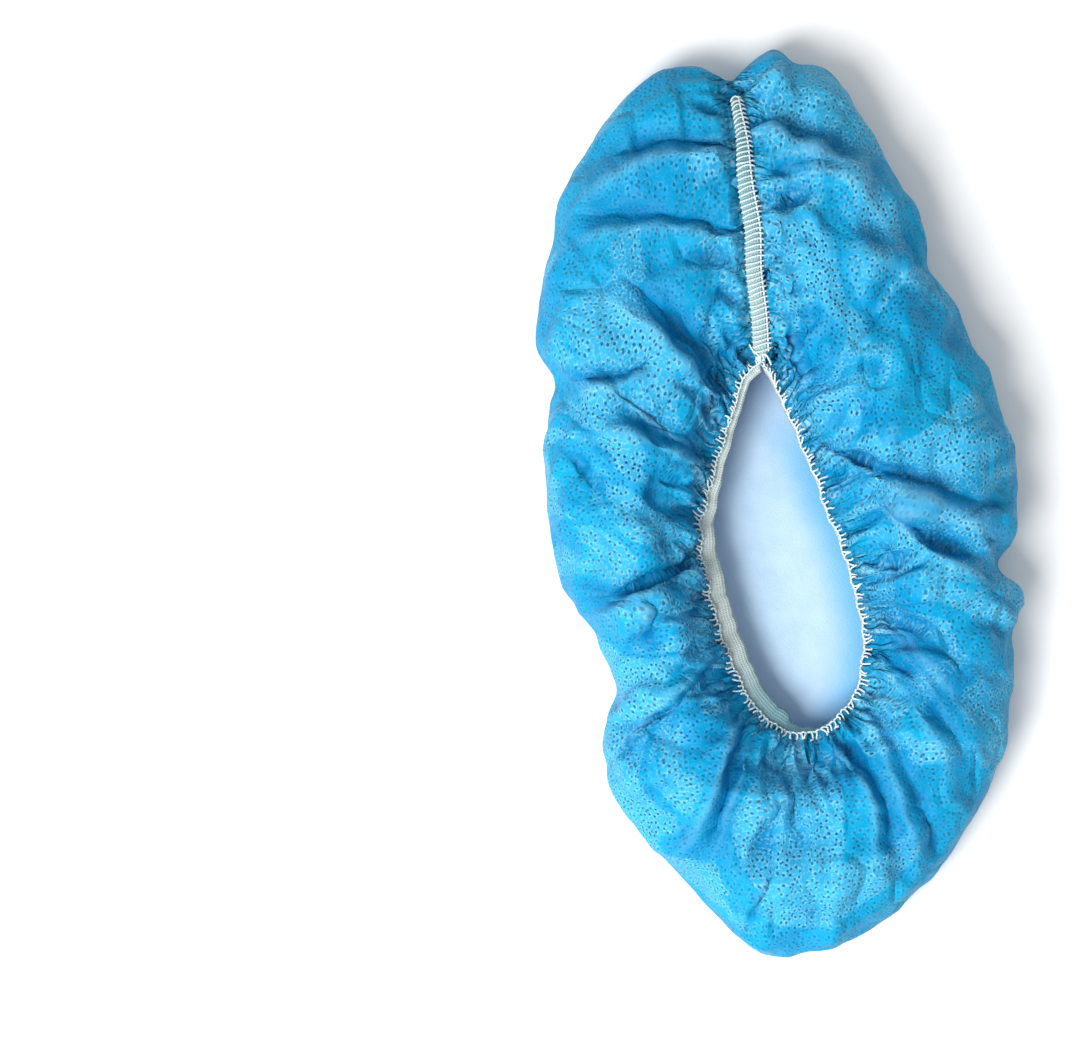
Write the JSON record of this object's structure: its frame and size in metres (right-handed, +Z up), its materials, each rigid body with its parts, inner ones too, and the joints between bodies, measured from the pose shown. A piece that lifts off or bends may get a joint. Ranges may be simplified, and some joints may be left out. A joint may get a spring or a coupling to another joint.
{
  "type": "shoe cover",
  "caption": "Disposable gathered shoe cover: a soft boat-shaped cloth bag with an elastic opening, an instep seam and a flat sole.",
  "frame": {"origin": "on the floor under the middle of the cover's box", "axes": "+Z up out of the opening, +Y from heel to toe, +X to the right seen from above with the toe up"},
  "size_m": [0.1732, 0.3311, 0.0476],
  "materials": {
    "upper_cloth": "blue embossed nonwoven",
    "sole_sheet": "white coated nonwoven",
    "elastic": "woven elastic tape"
  },
  "bodies": {
    "root": {"upper": "upper_cloth", "sole": "sole_sheet", "opening_elastic": "elastic", "instep_elastic": "elastic"}
  },
  "joints": []
}
